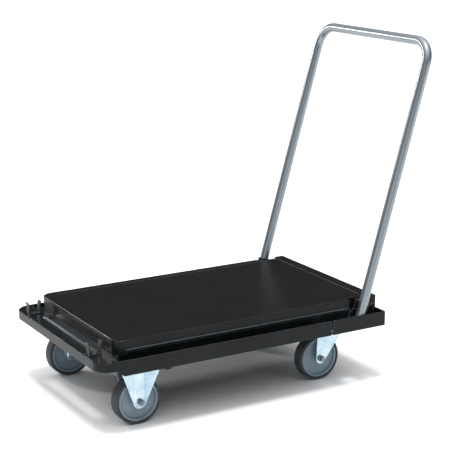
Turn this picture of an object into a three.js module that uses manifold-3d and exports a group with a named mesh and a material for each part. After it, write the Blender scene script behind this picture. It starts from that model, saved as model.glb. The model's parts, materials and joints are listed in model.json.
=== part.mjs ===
// A folding platform cart: a moulded two-piece base with a raised load deck, a tubular handle that folds
// flat into the channels beside the deck, two rigid casters in front and two swivel casters under the handle.
//
// Millimetres, +Z up. -X is the front (grip) end, +X is the handle end, and "left" is -Y, as the person
// pushing the cart sees it. Each piece is drawn about the middle of the platform with Z = 0 on the floor,
// and the whole group is then moved so that its origin is under the middle of the overall box.
import * as THREE from "three";
import { mergeVertices } from "three/addons/utils/BufferGeometryUtils.js";
import Module from "manifold-3d";

const wasm = await Module();
wasm.setup();

// ---------------------------------------------------------------- driving dimensions
const CLEARANCE = 0.3; // between pieces that touch
const SIDES = [
  ["left", -1],
  ["right", 1],
];

// base
const platformLength = 847;
const platformWidth = 540;
const rimHeight = 192; // top of the rim above the floor
const skirtDepth = 39; // side and rear skirt
const lipDepth = 24; // front lip, which is also the carrying grip
const shellWall = 3.5;
const frontCornerRadius = 44;
const rearCornerRadius = 6;
const channelDepth = 24.5; // below the rim
const plinthRise = 6; // above the rim
const apronDepth = 67; // front apron, from the lip to the plinth
const channelSetback = 48; // from the front edge to the side channels
const rearApronDepth = 12;
const housingLength = 170; // the handle housing, at the rear
const housingGap = 6.5; // open joint between the tray and the housing
const ribWall = 3.5;
const tongueReach = 7; // of the tongues that bridge the joint, to each side of it
const tongueWall = 3;

// grip opening in the front apron
const gripBarWidth = 33;
const gripOpeningLength = 316;
const scoopReach = 13; // how far the scoop reaches forward under the deck's front wall
const scoopDrop = 8.5;
const lipNotchWidth = 9;
const lipNotchDepth = 8;
const lipNotchInset = 12; // from a clip's middle

// deck
const deckRise = 37; // deck surface above the rim
const deckInsetFront = 63;
const deckInsetRear = 6;
const deckFootGap = 0.5; // deck to the handle's feet, which swing past it
const deckCornerRadius = 28;
const beadProud = 1.2; // the bead round the walls' lower edge
const beadHeight = 3;
const deckSideGap = 11; // from the rim to the side walls' lower edge
const deckSeatGap = 0.3;
const padInsetSide = 23; // the recessed load surface, from the deck's edge
const padInsetEnd = 34;
const padRecess = 1;
const padCornerRadius = 14;
const notchLength = 62; // in the deck's sides, round the handle's feet
const notchLead = 23; // from the notch's front end to the pivot
const notchDepth = 14;

// handle
const tubeDiameter = 25.4;
const tubeWall = 1.5;
const bendRadius = 58;
const handleLean = 16.3; // degrees behind vertical, in use
const pivotFromRear = 73;
const pivotDrop = 12; // below the rim
const tubeTail = 14; // tube below the pivot
const tubeSkirtGap = 3.4; // tube to the skirt's inner face
const footThickness = 2.6;
const footTubeGap = 0.4;
const footFlange = 3;
const footFlangeReach = 20.5;
const footLength = 46;
const footFlangeStart = 21;
const indexRadius = 27;
const indexPinRadius = 22; // centre of the lock openings and of the stop pin
const lockPinDiameter = 6;
const lockPinStart = 1; // pulled back, the lock pin's tip stands this far out of the plinth
const lockKnobDiameter = 12;
const lockKnobLength = 4;
const pocketBehindPivot = 38; // the channels' open length under the feet
const stopReliefRadius = 18.4;
const stopAngle = -20; // degrees from +X towards +Z, where the stop pin stands
const lockAngle = 180;
const pivotBoltDiameter = 8;

// clips for the folded handle
const clipFromFront = 24; // from the front edge to the folded crossbar's centre line
const clipSpacing = 376;
const clipWidth = 15;
const clipFoot = 2.7;
const clipProng = 3.4;
const clipGap = 0.5;
const clipHeight = 34;
const clipFlare = 3.5; // of the tips
const clipTip = 10; // length that flares

// casters
const wheelDiameter = 125;
const wheelWidth = 34;
const tyreThickness = 8;
const axleDiameter = 10;
const plateLength = 114;
const plateThickness = 3;
const plateHoleSpacing = 80;
const boltLegGap = 9; // fork leg to a plate bolt's centre line
const boltEdgeGap = 8; // a plate bolt's centre line to the plate's edge
const boltDiameter = 8;
const boltDepth = 18; // bolt hole, above the plate
const forkSteel = 3;
const forkSideGap = 3; // wheel to fork leg
const rigidCasterHeight = 150;
const rigidFromFront = 134; // to the middle of the rigid casters' plates
const rigidInset = 27; // from the platform's side to the plate's edge
const rigidAxleOffset = -6; // from the middle of the plate
const rigidLegLength = 112; // along the plate
const rigidRibWidth = 30;
const rigidRibProud = 3;
const swivelCasterHeight = 162;
const swivelFromRear = 119; // to the kingpins
const swivelInset = 21; // from the plinth's side to the plate's edge
const swivelTrail = 36;
const raceRadius = 34;

// facets of the round pieces
const wheelFacets = 24;
const boltFacets = 8;

// ---------------------------------------------------------------- places worked out from them
const rearX = platformLength / 2;
const frontX = -rearX;
const halfWidth = platformWidth / 2;
const skirtBottom = rimHeight - skirtDepth;
const lipBottom = rimHeight - lipDepth;
const tubeRadius = tubeDiameter / 2;
const footPlinthGap = deckFootGap + beadProud + shellWall + CLEARANCE; // the deck's wall hangs in it
const channelWidth = tubeSkirtGap + tubeDiameter + footTubeGap + footThickness + footPlinthGap;
const plinthHalfWidth = halfWidth - shellWall - channelWidth;
const plinthTop = rimHeight + plinthRise;
const plinthCornerRadius = deckCornerRadius - shellWall;
const plinthFrontX = frontX + apronDepth;
const plinthRearX = rearX - rearApronDepth;
const channelFloor = rimHeight - channelDepth;
const housingX = rearX - housingLength;
const trayRearX = housingX - housingGap;
const deckTop = rimHeight + deckRise;
const deckFrontX = frontX + deckInsetFront;
const deckRearX = rearX - deckInsetRear;
const tubeY = halfWidth - shellWall - tubeSkirtGap - tubeRadius;
const footInner = tubeY - tubeRadius - footTubeGap - footThickness;
const deckHalfWidth = footInner - deckFootGap - beadProud;
const pivot = new THREE.Vector3(rearX - pivotFromRear, 0, rimHeight - pivotDrop);
const lean = THREE.MathUtils.degToRad(handleLean);
const clipBarZ = rimHeight + CLEARANCE + clipFoot + clipGap + tubeRadius; // crossbar when folded
const clipBarX = frontX + clipFromFront;
const handleReach = Math.hypot(pivot.x - clipBarX, clipBarZ - pivot.z); // pivot to the crossbar
const foldedPitch = Math.asin((clipBarZ - pivot.z) / handleReach);
const foldAngle = Math.PI / 2 + lean - foldedPitch;
const footOuterX = tubeRadius + footTubeGap + footFlange + 0.2;
const footSweep = Math.hypot(footLength, footOuterX); // the foot's furthest corner from the pivot
const notchX = [pivot.x - notchLead, pivot.x - notchLead + notchLength];
const lockPinTravel = footPlinthGap + footThickness - lockPinStart;
const legInner = wheelWidth / 2 + forkSideGap;
const legOuter = legInner + forkSteel;
const casterPlate = {
  length: plateLength,
  width: 2 * (legOuter + boltLegGap + boltEdgeGap),
  holeX: plateHoleSpacing,
  holeY: 2 * (legOuter + boltLegGap),
};
const rigidCasterX = frontX + rigidFromFront;
const rigidY = halfWidth - rigidInset - casterPlate.width / 2;
const swivelCasterX = rearX - swivelFromRear;
const swivelY = plinthHalfWidth - swivelInset - casterPlate.width / 2;
const wheelRadius = wheelDiameter / 2;
const axleZ = wheelRadius * Math.cos(Math.PI / wheelFacets); // the tyre stands on one of its facets
const coreRadius = wheelRadius - tyreThickness;

// ---------------------------------------------------------------- materials
const materials = {
  plastic: new THREE.MeshStandardMaterial({ color: 0x1d1e20, roughness: 0.32, metalness: 0 }),
  clipPlastic: new THREE.MeshStandardMaterial({ color: 0x0c0c0d, roughness: 0.45, metalness: 0 }),
  tube: new THREE.MeshStandardMaterial({ color: 0x9aa0a5, roughness: 0.3, metalness: 0.8 }),
  zinc: new THREE.MeshStandardMaterial({ color: 0xcfdce2, roughness: 0.25, metalness: 0.9 }),
  tyre: new THREE.MeshStandardMaterial({ color: 0x2c2e30, roughness: 0.7, metalness: 0 }),
  core: new THREE.MeshStandardMaterial({ color: 0x66737c, roughness: 0.4, metalness: 0 }),
};

// ---------------------------------------------------------------- solids
// A closed geometry as a solid that can be joined and cut.
function solid(geometry) {
  const bare = geometry.index ? geometry.toNonIndexed() : geometry.clone();
  bare.deleteAttribute("normal");
  bare.deleteAttribute("uv");
  const merged = mergeVertices(bare, 1e-3);
  const corners = merged.index.array;
  const kept = [];
  for (let i = 0; i < corners.length; i += 3) {
    const [a, b, c] = corners.slice(i, i + 3);
    if (a !== b && b !== c && c !== a) kept.push(a, b, c);
  }
  const mesh = new wasm.Mesh({
    numProp: 3,
    vertProperties: merged.attributes.position.array,
    triVerts: new Uint32Array(kept),
  });
  return new wasm.Manifold(mesh);
}

const join = (...bodies) => bodies.flat().reduce((all, body) => all.add(body));
const cut = (body, ...tools) => tools.flat().reduce((left, tool) => left.subtract(tool), body);

// A box between two corners, given as pairs along X, Y and Z.
function block([x0, x1], [y0, y1], [z0, z1]) {
  const box = new THREE.BoxGeometry(Math.abs(x1 - x0), Math.abs(y1 - y0), Math.abs(z1 - z0));
  return solid(box.translate((x0 + x1) / 2, (y0 + y1) / 2, (z0 + z1) / 2));
}

// An outline in the XY plane, raised from z0 to z1.
function slab(outline, [z0, z1], arcSteps = 8) {
  const raised = new THREE.ExtrudeGeometry(outline, {
    depth: z1 - z0,
    bevelEnabled: false,
    curveSegments: arcSteps,
  });
  return solid(raised.translate(0, 0, z0));
}

// An outline in the XZ plane, extended between two Y values.
function sidePlate(outline, [y0, y1], arcSteps = 8) {
  const raised = new THREE.ExtrudeGeometry(outline, {
    depth: Math.abs(y1 - y0),
    bevelEnabled: false,
    curveSegments: arcSteps,
  });
  return solid(raised.rotateX(Math.PI / 2).translate(0, Math.max(y0, y1), 0));
}

// A round or, with six sides, hexagonal bar along Y or Z.
function barY(x, z, radius, [y0, y1], sides = 14) {
  const bar = new THREE.CylinderGeometry(radius, radius, Math.abs(y1 - y0), sides);
  return solid(bar.translate(x, (y0 + y1) / 2, z));
}

function barZ(x, y, radius, [z0, z1], sides = 14) {
  const bar = new THREE.CylinderGeometry(radius, radius, z1 - z0, sides);
  return solid(bar.rotateX(Math.PI / 2).translate(x, y, (z0 + z1) / 2));
}

// A rectangle whose front (-X) and rear (+X) corners have their own radii.
function platformOutline([x0, x1], half, frontRadius, rearRadius) {
  const outline = new THREE.Shape();
  outline.moveTo(x0 + frontRadius, -half);
  outline.lineTo(x1 - rearRadius, -half);
  if (rearRadius > 0) outline.absarc(x1 - rearRadius, rearRadius - half, rearRadius, -Math.PI / 2, 0);
  outline.lineTo(x1, half - rearRadius);
  if (rearRadius > 0) outline.absarc(x1 - rearRadius, half - rearRadius, rearRadius, 0, Math.PI / 2);
  outline.lineTo(x0 + frontRadius, half);
  if (frontRadius > 0) {
    outline.absarc(x0 + frontRadius, half - frontRadius, frontRadius, Math.PI / 2, Math.PI);
    outline.lineTo(x0, frontRadius - half);
    outline.absarc(x0 + frontRadius, frontRadius - half, frontRadius, Math.PI, (3 * Math.PI) / 2);
  }
  return outline;
}

// A closed polygon.
function polygon(points) {
  return new THREE.Shape(points.map(([x, y]) => new THREE.Vector2(x, y)));
}

// A plate's side outline: a straight top edge, and two straight edges that run down to meet a round end.
function taperedLeg([x0, x1], top, centre, radius) {
  const [cx, cz] = centre;
  // Where the line from a top corner touches the round end, as an angle about its centre.
  const touch = (x, side) => {
    const away = Math.hypot(x - cx, top - cz);
    return Math.atan2(top - cz, x - cx) + side * Math.acos(radius / away);
  };
  const start = touch(x0, 1);
  const end = touch(x1, -1) + 2 * Math.PI;
  const outline = new THREE.Shape();
  outline.moveTo(x1, top);
  outline.lineTo(x0, top);
  outline.lineTo(cx + radius * Math.cos(start), cz + radius * Math.sin(start));
  outline.absarc(cx, cz, radius, start, end);
  return outline;
}

// Places that share a span out evenly between its ends.
function spread([from, to], bays) {
  return Array.from({ length: bays - 1 }, (_, i) => from + ((i + 1) * (to - from)) / bays);
}

// A Y range on one side of the cart, from its distances to the middle.
const across = (side, near, far) => (side > 0 ? [near, far] : [-far, -near]);

// ---------------------------------------------------------------- assembly
const cart = new THREE.Group();
cart.name = "folding_platform_cart";

function addPart(name, body, material, holder = cart) {
  const { numProp, numVert, vertProperties, triVerts } = body.getMesh();
  const positions = new Float32Array(numVert * 3);
  for (let i = 0; i < numVert; i++) {
    positions.set(vertProperties.subarray(i * numProp, i * numProp + 3), i * 3);
  }
  const geometry = new THREE.BufferGeometry();
  geometry.setAttribute("position", new THREE.BufferAttribute(positions, 3));
  geometry.setIndex(new THREE.BufferAttribute(triVerts, 1));
  geometry.computeVertexNormals();
  const mesh = new THREE.Mesh(geometry, material);
  mesh.name = name;
  holder.add(mesh);
  return mesh;
}

// ---------------------------------------------------------------- base
// The walls that stand under a caster's plate, with a boss round each bolt. They fill the plinth, and
// stop at the channels' floor beside it.
function casterPad(x, y, seat) {
  const top = plinthTop - shellWall / 2;
  const halfL = casterPlate.length / 2;
  const halfW = casterPlate.width / 2;
  const span = [seat, top];
  const frame = cut(
    block([x - halfL, x + halfL], [y - halfW, y + halfW], span),
    block([x - halfL + ribWall, x + halfL - ribWall], [y - halfW + ribWall, y + halfW - ribWall], span),
  );
  const ribs = [
    block([x - halfL, x + halfL], [y - ribWall / 2, y + ribWall / 2], span),
    block([x - ribWall / 2, x + ribWall / 2], [y - halfW, y + halfW], span),
  ];
  const bosses = boltPlaces(x, y).map(([bx, by]) => barZ(bx, by, boltDiameter, span, boltFacets));
  const room = join(
    slab(platformOutline([plinthFrontX + 1, rearX], plinthHalfWidth - 1, plinthCornerRadius, 0), [0, top]),
    block([frontX, rearX], [-halfWidth, halfWidth], [0, channelFloor - 1]),
  );
  return join(frame, ribs, bosses).intersect(room);
}

function boltPlaces(x, y) {
  const { holeX, holeY } = casterPlate;
  return [-1, 1].flatMap((a) => [-1, 1].map((b) => [x + (a * holeX) / 2, y + (b * holeY) / 2]));
}

// Holes for the four bolts of one caster, up from its seat.
function boltHoles(x, y, seat) {
  const radius = boltDiameter / 2 + CLEARANCE;
  return boltPlaces(x, y).map(([bx, by]) => barZ(bx, by, radius, [seat - 20, seat + boltDepth], boltFacets));
}

// The channel beside the plinth between two X values.
function channel(side, [x0, x1]) {
  const reach = across(side, plinthHalfWidth - shellWall, halfWidth - shellWall / 2);
  return block([x0, x1], reach, [channelFloor - shellWall, channelFloor]);
}

// The hollow plinth between two X values, with ribs under its top.
function plinth([x0, x1], frontRadius, bays) {
  const inner = plinthHalfWidth - shellWall;
  const bottom = channelFloor - shellWall;
  const outside = platformOutline([x0, x1], plinthHalfWidth, frontRadius, 0);
  const innerRadius = Math.max(frontRadius - shellWall, 0);
  const inside = platformOutline([x0 + shellWall, x1 - shellWall], inner, innerRadius, 0);
  const shell = cut(slab(outside, [bottom, plinthTop]), slab(inside, [bottom - 1, plinthTop - shellWall]));
  const ribSpan = [channelFloor, plinthTop - shellWall / 2];
  const cross = spread([x0, x1], bays).map((x) =>
    block([x - ribWall / 2, x + ribWall / 2], [-inner - 1, inner + 1], ribSpan),
  );
  const along = spread([-inner, inner], 4).map((y) =>
    block([x0 + 1, x1 - 1], [y - ribWall / 2, y + ribWall / 2], ribSpan),
  );
  return join(shell, cross, along);
}

function baseTray() {
  const span = [frontX, trayRearX];
  const outside = platformOutline(span, halfWidth, frontCornerRadius, 0);
  const inside = platformOutline(
    [frontX + shellWall, trayRearX - shellWall],
    halfWidth - shellWall,
    frontCornerRadius - shellWall,
    0,
  );
  const skirt = cut(slab(outside, [skirtBottom, rimHeight]), slab(inside, [skirtBottom - 1, rimHeight + 1]));

  // The front lip is shallower than the side skirt, and the skirt's lower edge rises to meet it.
  const cornerX = frontX + frontCornerRadius;
  const rise = skirtDepth - lipDepth;
  const belowLip = polygon([
    [frontX - 1, skirtBottom - 1],
    [cornerX + 1.5 * rise + 1.5, skirtBottom - 1],
    [cornerX, lipBottom],
    [frontX - 1, lipBottom],
  ]);

  // The apron ends where the side channels begin.
  const channelStart = frontX + channelSetback;
  const apronSheet = slab(outside, [rimHeight - shellWall, rimHeight]);
  const apron = apronSheet.intersect(
    join(
      block([frontX, plinthFrontX + 1], [-plinthHalfWidth, plinthHalfWidth], [0, rimHeight]),
      block([frontX, channelStart], [-halfWidth, halfWidth], [0, rimHeight]),
    ),
  );
  const steps = SIDES.map(([, side]) =>
    block(
      [channelStart - shellWall, channelStart],
      across(side, plinthHalfWidth - shellWall, halfWidth - shellWall / 2),
      [channelFloor - shellWall, rimHeight],
    ),
  );
  const channels = SIDES.map(([, side]) => channel(side, [channelStart - shellWall, trayRearX]));

  // The grip: a bar behind the lip, an opening for the fingers and a scoop under the deck's front wall.
  const barRearX = frontX + gripBarWidth;
  const scoopEnd = deckFrontX - scoopReach;
  const halfOpening = gripOpeningLength / 2;
  const opening = slab(platformOutline([barRearX, deckFrontX], halfOpening, 12, 0), [0, rimHeight + 1]);
  const openingSpan = [-halfOpening, halfOpening];
  const barWall = block([barRearX - shellWall, barRearX], openingSpan, [lipBottom + 2, rimHeight]);
  const scoop = sidePlate(
    polygon([
      [plinthFrontX + 1, rimHeight],
      [deckFrontX, rimHeight],
      [scoopEnd, rimHeight - scoopDrop],
      [scoopEnd + 1.5, rimHeight - scoopDrop - 2.5],
      [deckFrontX + 1, rimHeight - shellWall],
      [plinthFrontX + 1, rimHeight - shellWall],
    ]),
    openingSpan,
  );
  const lipNotches = SIDES.map(([, side]) => {
    const y = side * (clipSpacing / 2 - lipNotchInset);
    const depth = [frontX - 1, frontX + 2 * shellWall];
    const wedge = new THREE.ExtrudeGeometry(
      polygon([
        [y - lipNotchWidth / 2, rimHeight + 1],
        [y, rimHeight - lipNotchDepth],
        [y + lipNotchWidth / 2, rimHeight + 1],
      ]),
      { depth: depth[1] - depth[0], bevelEnabled: false },
    );
    // The wedge is drawn in the YZ plane, then turned to run along X.
    const turn = new THREE.Matrix4().set(0, 0, 1, depth[0], 1, 0, 0, 0, 0, 1, 0, 0, 0, 0, 0, 1);
    return solid(wedge.applyMatrix4(turn));
  });

  const pads = SIDES.map(([, side]) =>
    casterPad(rigidCasterX, side * rigidY, rigidCasterHeight),
  );
  // A stop rib behind each rigid caster's plate, which shows below the skirt.
  const padEnd = rigidCasterX + casterPlate.length / 2;
  const stopRib = polygon([
    [padEnd - ribWall, rigidCasterHeight],
    [padEnd + CLEARANCE, rigidCasterHeight],
    [padEnd + CLEARANCE, rigidCasterHeight - 11],
    [padEnd + 14, rigidCasterHeight - 11],
    [padEnd + 27, skirtBottom],
    [padEnd + 27, channelFloor - 1],
    [padEnd - ribWall, channelFloor - 1],
  ]);
  const stopRibs = SIDES.map(([, side]) => sidePlate(stopRib, across(side, rigidY - 30, rigidY + 43)));

  const body = join(
    cut(skirt, sidePlate(belowLip, [-halfWidth - 1, halfWidth + 1]), jointWallCuts(trayRearX)),
    cut(apron, opening),
    barWall,
    scoop,
    steps,
    channels,
    plinth([plinthFrontX, trayRearX], plinthCornerRadius, 4),
    pads,
    stopRibs,
  );
  const holes = SIDES.flatMap(([, side]) => boltHoles(rigidCasterX, side * rigidY, rigidCasterHeight));
  return cut(body, holes, lipNotches, clipScrewHoles());
}

// The joint's two walls end above the swivel casters' plates, and leave the channels open.
function jointWallCuts(x) {
  const reach = halfWidth - shellWall;
  const span = [x - 2 * shellWall, x + 2 * shellWall];
  const channelSpan = [channelFloor, rimHeight + 1];
  return [
    block(span, [-reach, reach], [0, swivelCasterHeight + 1]),
    ...SIDES.map(([, side]) => block(span, across(side, plinthHalfWidth, reach), channelSpan)),
  ];
}

function handleHousing() {
  const outside = platformOutline([housingX, rearX], halfWidth, 0, rearCornerRadius);
  const inside = platformOutline(
    [housingX + shellWall, rearX - shellWall],
    halfWidth - shellWall,
    0,
    rearCornerRadius - shellWall,
  );
  const skirt = cut(slab(outside, [skirtBottom, rimHeight]), slab(inside, [skirtBottom - 1, rimHeight + 1]));
  const rearApron = block(
    [plinthRearX - shellWall, rearX - shellWall / 2],
    [-plinthHalfWidth - 1, plinthHalfWidth + 1],
    [rimHeight - shellWall, rimHeight],
  );

  // The channels are open under the handle's feet, upright and folded.
  const pocket = [pivot.x - footSweep - 1, pivot.x + pocketBehindPivot];
  const channels = SIDES.flatMap(([, side]) => [
    channel(side, [housingX, pocket[0]]),
    channel(side, [pocket[1], rearX - shellWall / 2]),
  ]);

  // The plinth's side walls carry the pivot bolts, the stop pins and the lock pins.
  const cheekY = [plinthHalfWidth - 2 * shellWall, plinthHalfWidth];
  const cheeks = SIDES.map(([, side]) =>
    block(pocket, across(side, ...cheekY), [skirtBottom + 1, plinthTop - 1]),
  );
  const bossY = [plinthHalfWidth - 1, footInner - CLEARANCE];
  const pivotBosses = SIDES.map(([, side]) => barY(pivot.x, pivot.z, 9.5, across(side, ...bossY)));
  const stop = onIndexCircle(stopAngle);
  const stopY = [plinthHalfWidth - 1, tubeY - tubeRadius - footTubeGap];
  const pinRadius = lockPinDiameter / 2;
  const stopPins = SIDES.map(([, side]) => barY(stop.x, stop.z, pinRadius, across(side, ...stopY), 12));
  const lock = onIndexCircle(lockAngle);
  const throughY = [plinthHalfWidth - 20, footInner];
  const holes = SIDES.flatMap(([, side]) => [
    barY(pivot.x, pivot.z, pivotBoltDiameter / 2 + CLEARANCE, across(side, ...throughY)),
    barY(lock.x, lock.z, pinRadius + CLEARANCE, across(side, ...throughY), 10),
  ]);

  const within = block([housingX, plinthRearX], [-plinthHalfWidth, plinthHalfWidth], [0, plinthTop]);
  const pads = SIDES.map(([, side]) =>
    casterPad(swivelCasterX, side * swivelY, swivelCasterHeight).intersect(within),
  );
  const body = join(
    cut(skirt, jointWallCuts(housingX)),
    jointTongues(),
    rearApron,
    channels,
    plinth([housingX, plinthRearX], 0, 1),
    cheeks,
    pads,
  );
  const seat = swivelCasterHeight;
  const boltDrillings = SIDES.flatMap(([, side]) => boltHoles(swivelCasterX, side * swivelY, seat));
  return cut(join(body, pivotBosses, stopPins), holes, boltDrillings);
}

// A tongue inside each side skirt reaches across the joint, so that it doesn't gape.
function jointTongues() {
  const span = [skirtBottom + 1, swivelCasterHeight];
  const inner = halfWidth - shellWall;
  return SIDES.flatMap(([, side]) => [
    block(
      [trayRearX - tongueReach, housingX + tongueReach],
      across(side, inner - CLEARANCE - tongueWall, inner - CLEARANCE),
      span,
    ),
    block([housingX, housingX + tongueReach], across(side, inner - tongueWall, inner + 1), span),
  ]);
}

// A place on the circle of the lock openings and the stop pin, with its angle from +X towards +Z.
function onIndexCircle(degrees) {
  const angle = THREE.MathUtils.degToRad(degrees);
  return {
    x: pivot.x + indexPinRadius * Math.cos(angle),
    z: pivot.z + indexPinRadius * Math.sin(angle),
  };
}

// ---------------------------------------------------------------- deck
function deck() {
  const wall = shellWall;
  const outside = platformOutline([deckFrontX, deckRearX], deckHalfWidth, deckCornerRadius, rearCornerRadius);
  const inside = platformOutline(
    [deckFrontX + wall, deckRearX - wall],
    deckHalfWidth - wall,
    deckCornerRadius - wall,
    rearCornerRadius - wall,
  );
  const bottom = rimHeight + 1.5;
  const shell = cut(slab(outside, [bottom, deckTop]), slab(inside, [bottom - 1, deckTop - wall]));
  const beads = SIDES.map(([, side]) =>
    block(
      [deckFrontX + deckCornerRadius, deckRearX - rearCornerRadius],
      across(side, deckHalfWidth - wall / 2, deckHalfWidth + beadProud),
      [rimHeight + deckSideGap, rimHeight + deckSideGap + beadHeight],
    ),
  );
  // The side walls end above the rim, beside the channels.
  const sideBottom = rimHeight + deckSideGap;
  const underSides = SIDES.map(([, side]) =>
    block(
      [deckFrontX + deckCornerRadius, deckRearX - rearCornerRadius],
      across(side, deckHalfWidth - 2 * wall, deckHalfWidth + 1),
      [bottom - 1, sideBottom],
    ),
  );
  const notches = SIDES.map(([, side]) =>
    block(notchX, across(side, deckHalfWidth - notchDepth, deckHalfWidth + beadProud + 1), [0, deckTop + 1]),
  );
  const seat = plinthTop + deckSeatGap;
  const notchWalls = SIDES.map(([, side]) => {
    const back = across(side, deckHalfWidth - notchDepth - wall, deckHalfWidth - notchDepth);
    const ends = across(side, deckHalfWidth - notchDepth - wall, deckHalfWidth - wall / 2);
    const endSpan = [sideBottom, deckTop - 1];
    return [
      block([notchX[0] - wall, notchX[1] + wall], back, [seat, deckTop - 1]),
      block([notchX[0] - wall, notchX[0]], ends, endSpan),
      block([notchX[1], notchX[1] + wall], ends, endSpan),
    ];
  });
  const ribSpan = [seat, deckTop - wall / 2];
  const ribY = deckHalfWidth - notchDepth - wall;
  const crossRibs = spread([deckFrontX, deckRearX], 5).map((x) =>
    block([x - ribWall / 2, x + ribWall / 2], [-ribY, ribY], ribSpan),
  );
  const longRibs = spread([-ribY, ribY], 4).map((y) =>
    block([deckFrontX + wall / 2, deckRearX - wall / 2], [y - ribWall / 2, y + ribWall / 2], ribSpan),
  );
  const pad = platformOutline(
    [deckFrontX + padInsetEnd, deckRearX - padInsetEnd],
    deckHalfWidth - padInsetSide,
    padCornerRadius,
    padCornerRadius,
  );
  return cut(
    join(cut(join(shell, beads), underSides, notches), notchWalls.flat(), crossRibs, longRibs),
    slab(pad, [deckTop - padRecess, deckTop + 1], 4),
  );
}

// ---------------------------------------------------------------- clips for the folded handle
const clipY = clipSpacing / 2;
const clipScrewLength = 9;

function clipScrewHoles() {
  return SIDES.map(([, side]) =>
    barZ(clipBarX, side * clipY, 2 + CLEARANCE, [rimHeight - 2 * shellWall, rimHeight + 1], 10),
  );
}

// Two prongs with flared tips on a foot, which hold the crossbar between them.
function handleClip(side) {
  const inner = tubeRadius + clipGap;
  const outer = inner + clipProng;
  const foot = rimHeight + CLEARANCE;
  const top = rimHeight + clipHeight;
  const bend = top - clipTip;
  const prongs = polygon([
    [clipBarX - outer, foot],
    [clipBarX + outer, foot],
    [clipBarX + outer, bend],
    [clipBarX + outer + clipFlare, top],
    [clipBarX + inner + clipFlare, top],
    [clipBarX + inner, bend],
    [clipBarX + inner, foot + clipFoot],
    [clipBarX - inner, foot + clipFoot],
    [clipBarX - inner, bend],
    [clipBarX - inner - clipFlare, top],
    [clipBarX - outer - clipFlare, top],
    [clipBarX - outer, bend],
  ]);
  const reach = [side * clipY - clipWidth / 2, side * clipY + clipWidth / 2];
  const screwHole = barZ(clipBarX, side * clipY, 2 + CLEARANCE, [foot - 1, foot + clipFoot + 1], 10);
  const headSeat = barZ(clipBarX, side * clipY, 4, [foot + clipFoot - 2, foot + clipFoot + 1], 10);
  return cut(sidePlate(prongs, reach), screwHole, headSeat);
}

function clipScrew(side) {
  const head = rimHeight + CLEARANCE + clipFoot;
  return join(
    barZ(clipBarX, side * clipY, 4 - CLEARANCE, [head - 2 + CLEARANCE, head - CLEARANCE], 10),
    barZ(clipBarX, side * clipY, 2, [head - clipScrewLength, head - 1], 10),
  );
}

// ---------------------------------------------------------------- handle
// The tube's centre line as seen square on: up one side, across the top and down the other.
function handleTube() {
  const path = new THREE.CurvePath();
  const bendY = tubeY - bendRadius;
  const bendZ = handleReach - bendRadius;
  const straight = (a, b) => path.add(new THREE.LineCurve3(new THREE.Vector3(...a), new THREE.Vector3(...b)));
  const arc = (y, from) => {
    const bend = new THREE.Curve();
    bend.getPoint = (t, target = new THREE.Vector3()) => {
      const angle = from - (t * Math.PI) / 2;
      return target.set(0, y + bendRadius * Math.cos(angle), bendZ + bendRadius * Math.sin(angle));
    };
    path.add(bend);
  };
  straight([0, -tubeY, -tubeTail], [0, -tubeY, bendZ]);
  arc(-bendY, Math.PI);
  straight([0, -bendY, handleReach], [0, bendY, handleReach]);
  arc(bendY, Math.PI / 2);
  straight([0, tubeY, bendZ], [0, tubeY, -tubeTail]);
  const wall = sweptRing(path, tubeRadius, tubeRadius - tubeWall);
  const bore = pivotBoltDiameter / 2 + CLEARANCE;
  const holes = SIDES.map(([, side]) => barY(0, 0, bore, across(side, tubeY - 20, tubeY + 20), 16));
  return cut(wall, holes);
}

// A round tube along a path that lies in a plane of constant X. Rings stand at the ends and round the bends.
function sweptRing(path, outerRadius, innerRadius, sides = 14, bendSteps = 6) {
  const stations = [];
  path.curves.forEach((curve) => {
    const steps = curve.isLineCurve3 ? 1 : bendSteps;
    for (let i = stations.length ? 1 : 0; i <= steps; i++) {
      const t = i / steps;
      stations.push({ at: curve.getPoint(t), along: curve.getTangent(t).normalize() });
    }
  });
  const layer = (radius) => {
    const positions = [];
    const ring = ({ at, along }, k) => {
      const angle = (2 * Math.PI * k) / sides;
      const out = new THREE.Vector3(1, 0, 0).cross(along);
      return at
        .clone()
        .addScaledVector(new THREE.Vector3(1, 0, 0), radius * Math.cos(angle))
        .addScaledVector(out, radius * Math.sin(angle));
    };
    const face = (...points) => points.forEach((p) => positions.push(p.x, p.y, p.z));
    for (let i = 0; i + 1 < stations.length; i++) {
      for (let k = 0; k < sides; k++) {
        const [a, b] = [ring(stations[i], k), ring(stations[i], k + 1)];
        const [c, d] = [ring(stations[i + 1], k), ring(stations[i + 1], k + 1)];
        face(a, d, b);
        face(a, c, d);
      }
    }
    for (let k = 0; k < sides; k++) {
      face(stations[0].at, ring(stations[0], k), ring(stations[0], k + 1));
      const last = stations[stations.length - 1];
      face(last.at, ring(last, k + 1), ring(last, k));
    }
    const geometry = new THREE.BufferGeometry();
    geometry.setAttribute("position", new THREE.Float32BufferAttribute(positions, 3));
    return solid(geometry);
  };
  // The bore runs a little past both ends, so that they stay open.
  const [first, last] = [stations[0], stations[stations.length - 1]];
  const outside = layer(outerRadius);
  first.at.addScaledVector(first.along, -1);
  last.at.addScaledVector(last.along, 1);
  return cut(outside, layer(innerRadius));
}

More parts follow.
